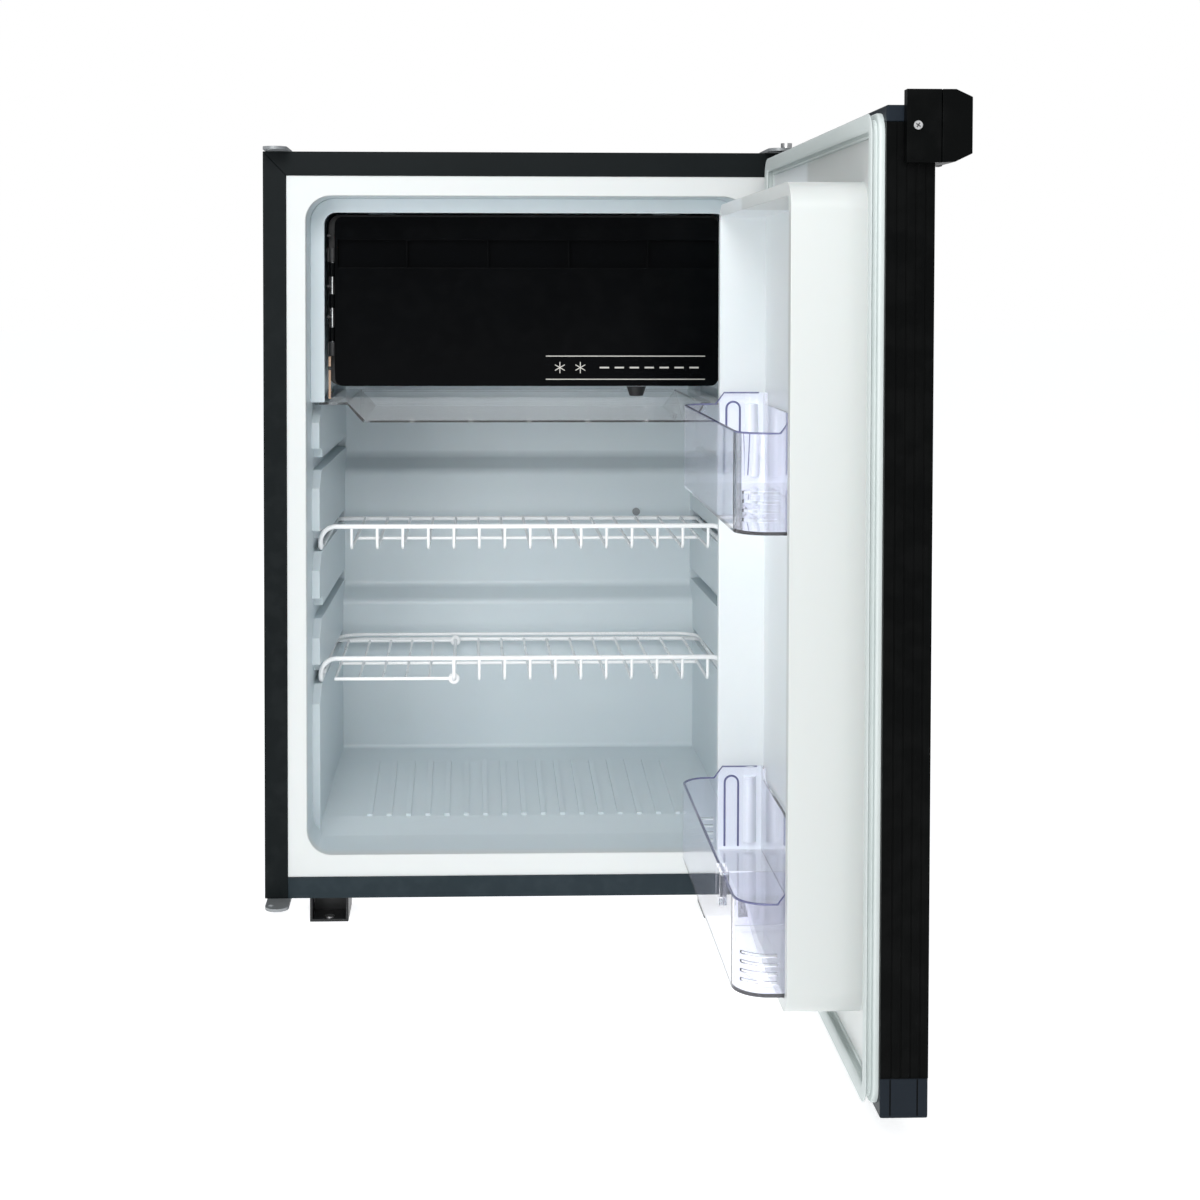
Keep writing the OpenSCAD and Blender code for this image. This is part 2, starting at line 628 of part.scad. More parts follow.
module door_cap(z0, z1, bore_z) difference() {
    block([-door_w / 2, -door_t, z0], [door_w / 2, rim_y, z1]);
    rod_z(bore_z - 10, bore_z + 10, hinge_x, hinge_y, pin_r + 0.05);
}

// The pins go 8.5 mm and 10.5 mm into the caps
module door_cap_top() color([0.03, 0.03, 0.032]) swung()
    door_cap(door_z[1] - cap_h[1], door_z[1], door_z[1]);
module door_cap_bottom() color([0.03, 0.03, 0.032]) swung()
    door_cap(door_z[0], door_z[0] + cap_h[0], door_z[0] + 2.5);

module door_liner() color([0.93, 0.95, 0.94]) swung() {
    difference() {
        union() {
            along_y(rim_y, rim_y + 2.5) round_rect([-238.5, 22], [238.5, 721], 4);
            along_y(rim_y, dyke_y)
                round_rect([-dyke_x[1], dyke_z[0]], [dyke_x[1], dyke_z[1]], 22);
        }
        along_y(pad_y, dyke_y + 1)
            round_rect([-dyke_x[0], dyke_z[0] + 11], [dyke_x[0], dyke_z[1] - 11], 6);
        door_core();
    }
    // ribs that the bins hang on
    for (z = [upper_bin_z, lower_bin_z]) both_sides() intersection() {
        rod_z(z[0] + 8, z[1] - 0.2, dyke_x[0], lug_y, lug_r);
        block([0, 0, 0], [dyke_x[0] + 1, dyke_y, cab_h]);
    }
}

module door_gasket() color([0.75, 0.78, 0.76]) swung() along_y(rim_y, -0.3) difference() {
    round_rect([-255, 6], [255, 737], 6);
    round_rect([-239, 21.5], [239, 721.5], 4);
}

// Latch at the top of the free edge: a base around the edge and a lever that pulls outwards
module latch_base() color([0.02, 0.02, 0.022]) swung() difference() {
    union() {
        block([latch_x[0], -door_t, latch_z[0]], [-door_w / 2, -door_t + 23, latch_z[1]]);
        block([latch_x[0], -door_t - 2, latch_z[0]], [latch_x[1] + 8, -door_t, latch_z[1]]);
        for (z = [latch_z[0], latch_z[1] - 4]) difference() {
            block([latch_pivot[0] - 5, latch_pivot[1] - 5, z],
                [latch_pivot[0] + 5, -door_t - 1, z + 4]);
            rod_z(z - 1, z + 5, latch_pivot[0], latch_pivot[1], 2);
        }
    }
    rod_x(latch_x[0] - 1, -door_w / 2 + 1, -30.7, 726, 2);
}

module latch_pin() color([0.7, 0.7, 0.7]) swung()
    rod_z(latch_z[0], latch_z[1], latch_pivot[0], latch_pivot[1], 2);

module latch_screw() color([0.7, 0.68, 0.62]) swung() {
    rod_x(latch_x[0] - 2, latch_x[0], -30.7, 726, 4.4);
    rod_x(latch_x[0], -door_w / 2, -30.7, 726, 2);
}

module latch_lever() color([0.02, 0.02, 0.022]) swung() difference() {
    union() {
        along_x(latch_x[0], latch_x[1]) polygon([[-door_t - 2.6, latch_z[0]],
            [-door_t - 2.6, latch_z[1]], [-door_t - 12.6, latch_z[1]],
            [-door_t - 24.5, latch_z[1] - 5.5], [-door_t - 24.5, latch_z[0] + 6.5],
            [-door_t - 12, latch_z[0] + 0.5]]);
        rod_z(latch_z[0] + 4.3, latch_z[1] - 4.3, latch_pivot[0], latch_pivot[1], 5.4);
    }
    rod_z(latch_z[0], latch_z[1], latch_pivot[0], latch_pivot[1], 2.05);
    for (z = [latch_z[0] - 1, latch_z[1] - 4.3]) block([latch_x[1] - 6.5, -door_t - 14.6, z],
        [latch_x[1] + 8, -door_t, z + 5.3]);
}

// ---- door bins ----

// Outline of a bin seen from above: square against the door, rounded in front
module bin_plan(inset) {
    r = 26 - inset;
    x = bin_x - inset;
    y0 = bin_y[0] + inset;
    y1 = bin_y[1] - inset;
    translate([-x, y0]) square([2 * x, y1 - y0 - r]);
    translate([-x + r, y0]) square([2 * (x - r), y1 - y0]);
    both_sides() translate([x - r, y1 - r]) circle(r);
}

module bin(z) difference() {
    union() {
        difference() {
            translate([0, 0, z[0]]) linear_extrude(z[2] - z[0]) bin_plan(0);
            translate([0, 0, z[0] + clear_t]) linear_extrude(z[2]) bin_plan(clear_t);
        }
        // sockets for the ribs on the door
        both_sides() intersection() {
            rod_z(z[0], z[2], dyke_x[0], lug_y, 9);
            block([0, 0, z[0]], [bin_x, 90, z[2]]);
        }
    }
    both_sides() rod_z(z[0] - 1, z[1], dyke_x[0], lug_y, lug_r + 1);
    // only the ends beside the door stand above the rim
    along_x(-bin_x - 1, bin_x + 1) polygon([[dyke_y - 4, z[2] + 1], [dyke_y - 4, z[2]],
        [dyke_y + 4, z[1]], [bin_y[1] + 1, z[1]], [bin_y[1] + 1, z[2] + 1]]);
    block([-bin_x + 14, 0, z[1]], [bin_x - 14, bin_y[1], z[2] + 1]);
    for (k = [0 : 3]) both_sides() block([bin_x - 16, bin_slot_y[0], z[0] + 10 + 7 * k],
        [bin_x + 1, bin_slot_y[1], z[0] + 12.2 + 7 * k]);
}

module upper_bin() color([0.8, 0.82, 0.95, 0.4]) swung() bin(upper_bin_z);
module lower_bin() color([0.8, 0.82, 0.95, 0.4]) swung() bin(lower_bin_z);

// A saddle that slides along the lower bin's front edge, with a plate across the bin
module bottle_clip() color([0.8, 0.82, 0.95, 0.4]) swung() translate([clip_x, 0, 0]) {
    difference() {
        block([-12, 82, 116], [12, 90, 143]);
        block([-13, bin_y[1] - clear_t - 0.3, 110], [13, bin_y[1] + 0.3, lower_bin_z[1] + 0.3]);
    }
    block([-1, bin_y[0] + 4, 96], [1, 82.5, 139.5]);
}

outer_casing();
bottom_panel();
rear_panel();
insulation_foam();
frame_top();
frame_bottom();
frame_left();
frame_right();
inner_liner();
freezer_surround();
evaporator_box();
evaporator_hangers();
freezer_front_frame();
freezer_hinge_arms();
freezer_hinge_pin();
thermostat_housing();
thermostat_knob();
rear_wall_screw();
hinge_plates();
spare_hinge_plates();
hinge_pins();
hinge_plate_screws();
feet();
base_plate();
compressor();
compressor_grommets();
compressor_bolts();
controller_box();
condenser();
condenser_brackets();
filter_drier();
hot_gas_tube();
suction_tube();
capillary_tube();
fan_housing();
fan_rotor();
power_inlet();
drain_tube();
evaporation_pan();
door_panel();
door_profile_free();
door_profile_hinge();
door_cap_top();
door_cap_bottom();
door_foam();
door_liner();
door_gasket();
latch_base();
latch_pin();
latch_screw();
latch_lever();
freezer_door();
freezer_door_inner();
drip_tray();
upper_shelf();
lower_shelf();
bottle_flap();
upper_bin();
lower_bin();
bottle_clip();
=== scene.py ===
import json
import math
import bpy
import bmesh
from mathutils import Matrix, Vector


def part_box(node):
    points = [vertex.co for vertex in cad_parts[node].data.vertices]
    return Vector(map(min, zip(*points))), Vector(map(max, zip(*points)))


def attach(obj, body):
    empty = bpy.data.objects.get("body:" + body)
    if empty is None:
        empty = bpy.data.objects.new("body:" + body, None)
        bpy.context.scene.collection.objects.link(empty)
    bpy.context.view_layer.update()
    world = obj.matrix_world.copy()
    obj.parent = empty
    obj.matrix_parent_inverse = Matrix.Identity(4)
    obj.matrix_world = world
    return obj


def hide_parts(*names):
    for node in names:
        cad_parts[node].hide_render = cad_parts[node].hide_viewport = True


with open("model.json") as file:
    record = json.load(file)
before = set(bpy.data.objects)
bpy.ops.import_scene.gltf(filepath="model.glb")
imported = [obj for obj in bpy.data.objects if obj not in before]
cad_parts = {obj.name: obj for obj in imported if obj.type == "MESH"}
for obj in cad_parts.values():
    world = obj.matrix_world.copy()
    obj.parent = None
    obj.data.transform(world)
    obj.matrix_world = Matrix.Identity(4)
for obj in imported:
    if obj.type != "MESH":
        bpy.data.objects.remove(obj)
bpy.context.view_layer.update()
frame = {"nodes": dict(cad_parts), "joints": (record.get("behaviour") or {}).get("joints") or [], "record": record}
nodes = frame["nodes"]
bodyOf = {n: b for b, members in frame["record"]["behaviour"]["bodies"].items() for n in members}
joints = {j["name"]: j for j in frame["joints"]}
print("frame:", len(nodes), "nodes")

# Cabinet measures in millimetres: x from the middle, y from the front frame's face, z from the underside
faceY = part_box("frame_left")[0].y * 1000
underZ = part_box("frame_left")[0].z * 1000
hingeAt = Vector(joints["door_hinge"]["pos_m"])
standing = Matrix.Scale(0.001, 4) @ Matrix.Translation((0, faceY, underZ))
swing = (Matrix.Translation(hingeAt) @ Matrix.Rotation(math.radians(90), 4, "Z")
         @ Matrix.Translation(-hingeAt))
doorOpen = swing @ standing


# Shader groups that the finishes share

def newGroup(name, inputs, outputs):
    group = bpy.data.node_groups.new(name, "ShaderNodeTree")
    for label, value in inputs.items():
        socket = group.interface.new_socket(label, in_out="INPUT", socket_type="NodeSocketFloat")
        socket.default_value = value
    for label in outputs:
        group.interface.new_socket(label, in_out="OUTPUT", socket_type="NodeSocketFloat")
    return group, group.nodes.new("NodeGroupInput"), group.nodes.new("NodeGroupOutput")


def addNode(tree, kind, values=None, **settings):
    made = tree.nodes.new(kind)
    for key, value in settings.items():
        setattr(made, key, value)
    for key, value in (values or {}).items():
        made.inputs[key].default_value = value
    return made


def plug(tree, socket, value):
    if isinstance(value, (int, float)):
        socket.default_value = value
    else:
        tree.links.new(value, socket)


def calc(tree, operation, first, second, clamp=False):
    made = addNode(tree, "ShaderNodeMath", operation=operation, use_clamp=clamp)
    plug(tree, made.inputs[0], first)
    plug(tree, made.inputs[1], second)
    return made.outputs[0]


def spread(tree, source, low, high):
    made = addNode(tree, "ShaderNodeMapRange", {"From Min": low, "From Max": high})
    tree.links.new(source, made.inputs["Value"])
    return made.outputs[0]


def noise(tree, scale, detail, vector=None):
    made = addNode(tree, "ShaderNodeTexNoise", {"Detail": detail})
    plug(tree, made.inputs["Scale"], scale)
    where = vector or addNode(tree, "ShaderNodeTexCoord").outputs["Object"]
    tree.links.new(where, made.inputs["Vector"])
    return made.outputs["Fac"]


def buildUneven():
    # slow colour drift, roughness drift and a fine grain height
    group, take, give = newGroup("uneven", {"Grain": 900.0, "Drift": 9.0, "Rough": 0.4, "Spread": 0.1},
                                 ["Tone", "Roughness", "Height"])
    slow = noise(group, take.outputs["Drift"], 3.0)
    fine = noise(group, take.outputs["Grain"], 2.0)
    both = calc(group, "ADD", calc(group, "MULTIPLY", slow, 0.8), calc(group, "MULTIPLY", fine, 0.2))
    lift = calc(group, "MULTIPLY", calc(group, "SUBTRACT", both, 0.5), take.outputs["Spread"])
    group.links.new(spread(group, both, 0.36, 0.64), give.inputs["Tone"])
    group.links.new(calc(group, "ADD", lift, take.outputs["Rough"], True), give.inputs["Roughness"])
    group.links.new(fine, give.inputs["Height"])
    return group


def buildEdgeWear():
    group, take, give = newGroup("edgeWear", {"Amount": 0.3, "Patch": 60.0}, ["Mask"])
    sharp = spread(group, addNode(group, "ShaderNodeNewGeometry").outputs["Pointiness"], 0.53, 0.60)
    broken = spread(group, noise(group, take.outputs["Patch"], 6.0), 0.45, 0.62)
    mask = calc(group, "MULTIPLY", calc(group, "MULTIPLY", sharp, broken), take.outputs["Amount"], True)
    group.links.new(mask, give.inputs["Mask"])
    return group


def buildDust():
    group, take, give = newGroup("dust", {"Amount": 0.2, "Patch": 30.0}, ["Mask"])
    parts = addNode(group, "ShaderNodeSeparateXYZ")
    group.links.new(addNode(group, "ShaderNodeNewGeometry").outputs["Normal"], parts.inputs[0])
    upward = spread(group, parts.outputs["Z"], 0.55, 0.95)
    cloudy = spread(group, noise(group, take.outputs["Patch"], 7.0), 0.38, 0.7)
    mask = calc(group, "MULTIPLY", calc(group, "MULTIPLY", upward, cloudy), take.outputs["Amount"], True)
    group.links.new(mask, give.inputs["Mask"])
    return group


def buildBrushed():
    # streaks drawn out along one axis, for rolled and drawn metal
    group, take, give = newGroup("brushed", {"AlongX": 4.0, "AlongY": 300.0, "AlongZ": 300.0},
                                 ["Tone", "Height"])
    scale = addNode(group, "ShaderNodeCombineXYZ")
    for axis in "XYZ":
        group.links.new(take.outputs["Along" + axis], scale.inputs[axis])
    stretch = addNode(group, "ShaderNodeVectorMath", operation="MULTIPLY")
    group.links.new(addNode(group, "ShaderNodeTexCoord").outputs["Object"], stretch.inputs[0])
    group.links.new(scale.outputs[0], stretch.inputs[1])
    streak = noise(group, 1.0, 5.0, stretch.outputs[0])
    group.links.new(spread(group, streak, 0.3, 0.7), give.inputs["Tone"])
    group.links.new(streak, give.inputs["Height"])
    return group


uneven, edgeWear, dust, brushed = buildUneven(), buildEdgeWear(), buildDust(), buildBrushed()
print("shader groups: uneven, edgeWear, dust, brushed")


# Finishes: colours, roughness and the strength of each shared effect

finishes = {
    "blackEnamel": {"colour": (0.009, 0.010, 0.011), "second": (0.012, 0.013, 0.014), "rough": 0.36,
                    "spread": 0.10, "grain": 1400, "bump": 0.04, "wear": 0.12, "dust": 0.04,
                    "specular": 0.35},
    "frameEnamel": {"colour": (0.0042, 0.0065, 0.0072), "second": (0.0055, 0.008, 0.0088), "rough": 0.42,
                    "spread": 0.08, "grain": 1600, "bump": 0.03, "wear": 0.08, "dust": 0.02,
                    "specular": 0.08},
    # frameBottomPaintedLight is the frame enamel painted lighter for the bottom rail: painted light from below,
    # not a different paint
    "frameBottomPaintedLight": {"colour": (0.016, 0.026, 0.032), "second": (0.019, 0.029, 0.036), "rough": 0.42,
                 "spread": 0.08, "grain": 1600, "bump": 0.03, "wear": 0.08, "dust": 0.02,
                 "specular": 0.12},
    "doorGloss": {"colour": (0.006, 0.006, 0.007), "second": (0.008, 0.008, 0.009), "rough": 0.16,
                  "spread": 0.05, "grain": 1200, "bump": 0.015, "wear": 0.05, "dust": 0.03, "coat": 0.3},
    "blackProfile": {"colour": (0.0010, 0.0013, 0.0013), "second": (0.0015, 0.0018, 0.0018), "rough": 0.36,
                     "spread": 0.08, "grain": 1500, "bump": 0.02, "wear": 0.04, "dust": 0.01,
                     "specular": 0.045},
    "capBlack": {"colour": (0.0075, 0.012, 0.018), "second": (0.009, 0.014, 0.021), "rough": 0.42,
                 "spread": 0.10, "grain": 1500, "bump": 0.03, "wear": 0.06, "dust": 0.03,
                 "specular": 0.12},
    "freezerBlack": {"colour": (0.0013, 0.0015, 0.0018), "second": (0.0017, 0.002, 0.0024), "rough": 0.14,
                     "spread": 0.05, "grain": 1100, "bump": 0.01, "wear": 0.02, "dust": 0.01,
                     "specular": 0.05},
    "blackPlastic": {"colour": (0.012, 0.012, 0.013), "second": (0.02, 0.02, 0.021), "rough": 0.5,
                     "spread": 0.15, "grain": 1800, "bump": 0.15, "wear": 0.15, "dust": 0.15},
    # linerWhite: the bluer main colour is painted shade of the interior; the rim colour is the neutral white of
    # the lit front flange
    "linerWhite": {"colour": (0.64, 0.715, 0.75), "second": (0.66, 0.735, 0.765), "rough": 0.34,
                   "spread": 0.08, "grain": 700, "bump": 0.02, "wear": 0.03, "dust": 0.01,
                   "softness": 0.04, "rim": (0.655, 0.68, 0.675), "rimFrom": -0.253,
                   "rimTo": -0.236},
    "doorWhite": {"colour": (0.74, 0.785, 0.80), "second": (0.76, 0.80, 0.81), "rough": 0.36,
                  "spread": 0.08, "grain": 700, "bump": 0.02, "wear": 0.03, "dust": 0.01,
                  "softness": 0.04, "rim": (0.585, 0.61, 0.60), "rimFrom": -0.4845, "rimTo": -0.472},
    "plateGrey": {"colour": (0.24, 0.255, 0.265), "second": (0.30, 0.315, 0.325), "rough": 0.38,
                  "spread": 0.2, "grain": 900, "bump": 0.02, "wear": 0.3, "dust": 0.05,
                  "metal": 0.35},
    "gasketGrey": {"colour": (0.55, 0.605, 0.595), "second": (0.59, 0.64, 0.63), "rough": 0.55,
                   "spread": 0.12, "grain": 900, "bump": 0.08, "wear": 0.0, "dust": 0.06},
    "whiteWire": {"colour": (0.94, 0.95, 0.955), "second": (0.96, 0.965, 0.97), "rough": 0.28,
                  "spread": 0.1, "grain": 500, "bump": 0.05, "wear": 0.0, "dust": 0.02, "coat": 0.3},
    "aluminiumSheet": {"colour": (0.60, 0.62, 0.64), "second": (0.72, 0.74, 0.76), "rough": 0.38,
                       "spread": 0.15, "grain": 800, "bump": 0.03, "wear": 0.2, "dust": 0.03,
                       "metal": 1.0, "streaks": (3.0, 300.0, 300.0)},
    "galvanised": {"colour": (0.36, 0.37, 0.38), "second": (0.50, 0.51, 0.53), "rough": 0.42,
                   "spread": 0.3, "grain": 300, "bump": 0.02, "wear": 0.2, "dust": 0.1,
                   "metal": 1.0, "spangle": 55.0},
    "zincSteel": {"colour": (0.50, 0.50, 0.51), "second": (0.62, 0.62, 0.62), "rough": 0.30,
                  "spread": 0.2, "grain": 900, "bump": 0.03, "wear": 0.4, "dust": 0.05,
                  "metal": 1.0, "streaks": (60.0, 500.0, 500.0)},
    "stoveBlack": {"colour": (0.008, 0.008, 0.008), "second": (0.014, 0.014, 0.013), "rough": 0.4,
                   "spread": 0.2, "grain": 900, "bump": 0.08, "wear": 0.5, "dust": 0.25},
    "copper": {"colour": (0.62, 0.27, 0.14), "second": (0.42, 0.19, 0.11), "rough": 0.32,
               "spread": 0.25, "grain": 400, "bump": 0.02, "wear": 0.2, "dust": 0.05, "metal": 1.0},
    "rubberBlack": {"colour": (0.02, 0.02, 0.02), "second": (0.03, 0.03, 0.03), "rough": 0.75,
                    "spread": 0.1, "grain": 900, "bump": 0.1, "wear": 0.0, "dust": 0.2},
    "foamYellow": {"colour": (0.78, 0.62, 0.30), "second": (0.86, 0.72, 0.42), "rough": 0.85,
                   "spread": 0.1, "grain": 400, "bump": 0.5, "wear": 0.0, "dust": 0.0},
    "clearViolet": {"colour": (0.925, 0.928, 0.998), "second": (0.935, 0.938, 1.0), "rough": 0.015,
                    "spread": 0.01, "grain": 120, "bump": 0.001, "clear": 1.36, "through": 0.97},
    # violetPaintedEdgeShade: dark violet for the bins' edge lines and loops, painted shade standing in for
    # refraction in the clear plastic
    "violetPaintedEdgeShade": {"colour": (0.16, 0.17, 0.34), "second": (0.19, 0.20, 0.38), "rough": 0.1,
                   "spread": 0.02, "grain": 120, "bump": 0.001, "clear": 1.36, "through": 0.5},
    "clearTray": {"colour": (0.975, 0.985, 0.993), "second": (0.982, 0.99, 0.996), "rough": 0.015,
                  "spread": 0.01, "grain": 120, "bump": 0.001, "clear": 1.30, "through": 0.95},
    "silverPrint": {"colour": (0.52, 0.51, 0.47), "second": (0.60, 0.59, 0.55), "rough": 0.35,
                    "spread": 0.1, "grain": 900, "bump": 0.01, "metal": 0.4},
    "brassStrip": {"colour": (0.40, 0.28, 0.20), "second": (0.52, 0.38, 0.28), "rough": 0.35,
                   "spread": 0.15, "grain": 900, "bump": 0.02, "metal": 1.0},
}


def mixColour(tree, factor, first, second):
    made = addNode(tree, "ShaderNodeMix", data_type="RGBA")
    plug(tree, made.inputs["Factor"], factor)
    for index, value in ((6, first), (7, second)):
        if isinstance(value, tuple):
            made.inputs[index].default_value = (*value, 1.0)
        else:
            tree.links.new(value, made.inputs[index])
    return made.outputs[2]


def useGroup(tree, group, **values):
    made = tree.nodes.new("ShaderNodeGroup")
    made.node_tree = group
    for label, value in values.items():
        made.inputs[label].default_value = value
    return made


def buildFinish(name, look):
    made = bpy.data.materials.new(name)
    made.use_nodes = True
    tree = made.node_tree
    shader = tree.nodes["Principled BSDF"]
    base = useGroup(tree, uneven, Grain=look["grain"], Rough=look["rough"], Spread=look["spread"])
    colour = mixColour(tree, base.outputs["Tone"], look["colour"], look["second"])
    height = base.outputs["Height"]
    if "streaks" in look:
        drawn = useGroup(tree, brushed, **dict(zip(("AlongX", "AlongY", "AlongZ"), look["streaks"])))
        colour = mixColour(tree, calc(tree, "MULTIPLY", drawn.outputs["Tone"], 0.5), colour, look["second"])
        height = calc(tree, "ADD", height, drawn.outputs["Height"])
    if "spangle" in look:  # crystals of hot-dip zinc
        cells = addNode(tree, "ShaderNodeTexVoronoi", {"Scale": look["spangle"]})
        tree.links.new(addNode(tree, "ShaderNodeTexCoord").outputs["Object"], cells.inputs["Vector"])
        tone = calc(tree, "MULTIPLY", cells.outputs["Color"], 0.8)
        colour = mixColour(tree, tone, colour, look["second"])
    if "rim" in look:  # the foremost part gets its own, more neutral colour; on the liner the bluer main colour behind it is painted shade of the interior, on the door liner the front band is darker
        parts = addNode(tree, "ShaderNodeSeparateXYZ")
        tree.links.new(addNode(tree, "ShaderNodeTexCoord").outputs["Object"], parts.inputs[0])
        depth = spread(tree, parts.outputs["Y"], look["rimFrom"], look["rimTo"])
        colour = mixColour(tree, depth, look["rim"], colour)
    if look.get("wear"):
        worn = useGroup(tree, edgeWear, Amount=look["wear"])
        pale = tuple(min(0.8, c * 2.2 + 0.03) for c in look["colour"])
        colour = mixColour(tree, worn.outputs["Mask"], colour, pale)
    if look.get("dust"):
        settled = useGroup(tree, dust, Amount=look["dust"])
        colour = mixColour(tree, settled.outputs["Mask"], colour, (0.42, 0.40, 0.37))
    tree.links.new(colour, shader.inputs["Base Color"])
    tree.links.new(base.outputs["Roughness"], shader.inputs["Roughness"])
    bump = addNode(tree, "ShaderNodeBump", {"Strength": look["bump"], "Distance": 0.0004})
    tree.links.new(height, bump.inputs["Height"])
    tree.links.new(bump.outputs["Normal"], shader.inputs["Normal"])
    shader.inputs["Metallic"].default_value = look.get("metal", 0.0)
    shader.inputs["Coat Weight"].default_value = look.get("coat", 0.0)
    shader.inputs["Specular IOR Level"].default_value = look.get("specular", 0.5)
    if "softness" in look:
        shader.inputs["Subsurface Weight"].default_value = look["softness"]
        shader.inputs["Subsurface Scale"].default_value = 0.004
    if "clear" in look:
        shader.inputs["Transmission Weight"].default_value = look["through"]
        shader.inputs["IOR"].default_value = look["clear"]
    return made


finish = {name: buildFinish(name, look) for name, look in finishes.items()}
print("finishes:", len(finish))


# Helpers that make pieces

def sharpEdges(work, degrees):
    limit = math.radians(degrees)
    return [e for e in work.edges if len(e.link_faces) == 2 and e.calc_face_angle(0.0) > limit]


def cleaned(node):
    # a merged copy of a CAD node's triangles, with flat areas as single faces
    work = bmesh.new()
    work.from_mesh(nodes[node].data)
    bmesh.ops.remove_doubles(work, verts=work.verts, dist=0.00001)
    bmesh.ops.dissolve_limit(work, angle_limit=math.radians(0.5), verts=work.verts, edges=work.edges)
    return work


def rounded(work, edges, width, segments):
    bmesh.ops.bevel(work, geom=edges, offset=width / 1000, offset_type="OFFSET", affect="EDGES",
                    segments=segments, profile=0.5, material=-1, clamp_overlap=True)


def finishPiece(work, name, body, finishName, replaced=(), place=None, smooth=40):
    mesh = bpy.data.meshes.new(name)
    if place is not None:
        bmesh.ops.transform(work, matrix=place, verts=work.verts)
    work.to_mesh(mesh)
    work.free()
    mesh.materials.clear()
    mesh.materials.append(finish[finishName])
    mesh.shade_smooth()
    mesh.set_sharp_from_angle(angle=math.radians(smooth))
    piece = bpy.data.objects.new(name, mesh)
    bpy.context.scene.collection.objects.link(piece)
    even = piece.modifiers.new("evenShading", "WEIGHTED_NORMAL")
    even.keep_sharp = True
    piece.visible_shadow = "clear" not in finishes[finishName]
    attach(piece, body)
    if replaced:
        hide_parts(*replaced)
    return piece


def box(work, low, high):
    made = bmesh.ops.create_cube(work, size=1.0)["verts"]
    size = [high[i] - low[i] for i in range(3)]
    middle = [(high[i] + low[i]) / 2 for i in range(3)]
    bmesh.ops.scale(work, vec=size, verts=made)
    bmesh.ops.translate(work, vec=middle, verts=made)
    return made


def bent(points, radius, steps=6):
    # the same path with its corners rounded
    path = [Vector(points[0])]
    for before, at, after in zip(points, points[1:], points[2:]):
        before, at, after = Vector(before), Vector(at), Vector(after)
        toward, away = (before - at).normalized(), (after - at).normalized()
        reach = min(radius, (before - at).length * 0.49, (after - at).length * 0.49)
        first, last = at + toward * reach, at + away * reach
        for k in range(steps + 1):
            t = k / steps
            path.append(first * (1 - t) ** 2 + at * (2 * t * (1 - t)) + last * t ** 2)
    path.append(Vector(points[-1]))
    return path


def tube(work, path, radius, sides=12, closed=False):
    rings = []
    count = len(path)
    side = None
    for k, at in enumerate(path):
        if closed:
            along = (path[(k + 1) % count] - path[k - 1]).normalized()
        else:
            along = (path[min(k + 1, count - 1)] - path[max(k - 1, 0)]).normalized()
        if side is None:
            side = along.orthogonal().normalized()
        side = (side - along * side.dot(along)).normalized()
        other = along.cross(side)
        rings.append([work.verts.new(at + (side * math.cos(a) + other * math.sin(a)) * radius)
                      for a in (2 * math.pi * i / sides for i in range(sides))])
    for k in range(count if closed else count - 1):
        low, high = rings[k], rings[(k + 1) % count]
        for i in range(sides):
            work.faces.new((low[i], low[(i + 1) % sides], high[(i + 1) % sides], high[i]))
    if not closed:
        work.faces.new(list(reversed(rings[0])))
        work.faces.new(rings[-1])


# CAD nodes that only need their edges eased: finish, radius in millimetres
eased = {
    "outer_casing": ("blackEnamel", 1.0), "bottom_panel": ("galvanised", 0.3),
    "rear_panel": ("galvanised", 0.4), "frame_top": ("frameEnamel", 0.6),
    # the bottom rail takes the lighter copy of the frame enamel, painted light from below
    "frame_bottom": ("frameBottomPaintedLight", 0.6), "frame_left": ("frameEnamel", 0.6),
    "frame_right": ("frameEnamel", 0.6), "freezer_surround": ("linerWhite", 1.0),
    "evaporator_box": ("aluminiumSheet", 0.4), "evaporator_hangers": ("linerWhite", 1.5),
    "freezer_front_frame": ("blackPlastic", 1.0), "freezer_hinge_arms": ("blackPlastic", 0.5),
    "thermostat_housing": ("linerWhite", 0.8), "thermostat_knob": ("blackPlastic", 0.8),
    "hinge_plates": ("plateGrey", 0.6), "spare_hinge_plates": ("plateGrey", 0.6),
    "feet": ("blackEnamel", 0.6), "base_plate": ("galvanised", 0.4), "compressor": ("stoveBlack", 2.0),
    "controller_box": ("blackPlastic", 1.2), "condenser_brackets": ("stoveBlack", 0.8),
    "fan_housing": ("blackPlastic", 0.8), "fan_rotor": ("blackPlastic", 0.4),
    "power_inlet": ("blackPlastic", 1.2), "evaporation_pan": ("blackPlastic", 0.8),
    "door_panel": ("doorGloss", 0.4), "door_profile_free": ("blackProfile", 0.25),
    "door_profile_hinge": ("blackProfile", 0.25), "door_cap_top": ("capBlack", 1.5),
    "door_cap_bottom": ("capBlack", 1.5), "latch_base": ("blackProfile", 0.9),
    "latch_lever": ("blackProfile", 1.2), "freezer_door": ("freezerBlack", 0.8),
    "freezer_door_inner": ("doorWhite", 1.2), "drip_tray": ("clearTray", 0.4),
    "bottle_clip": ("clearViolet", 0.35), "upper_bin": ("clearViolet", 0.7),
    "lower_bin": ("clearViolet", 0.7),
}
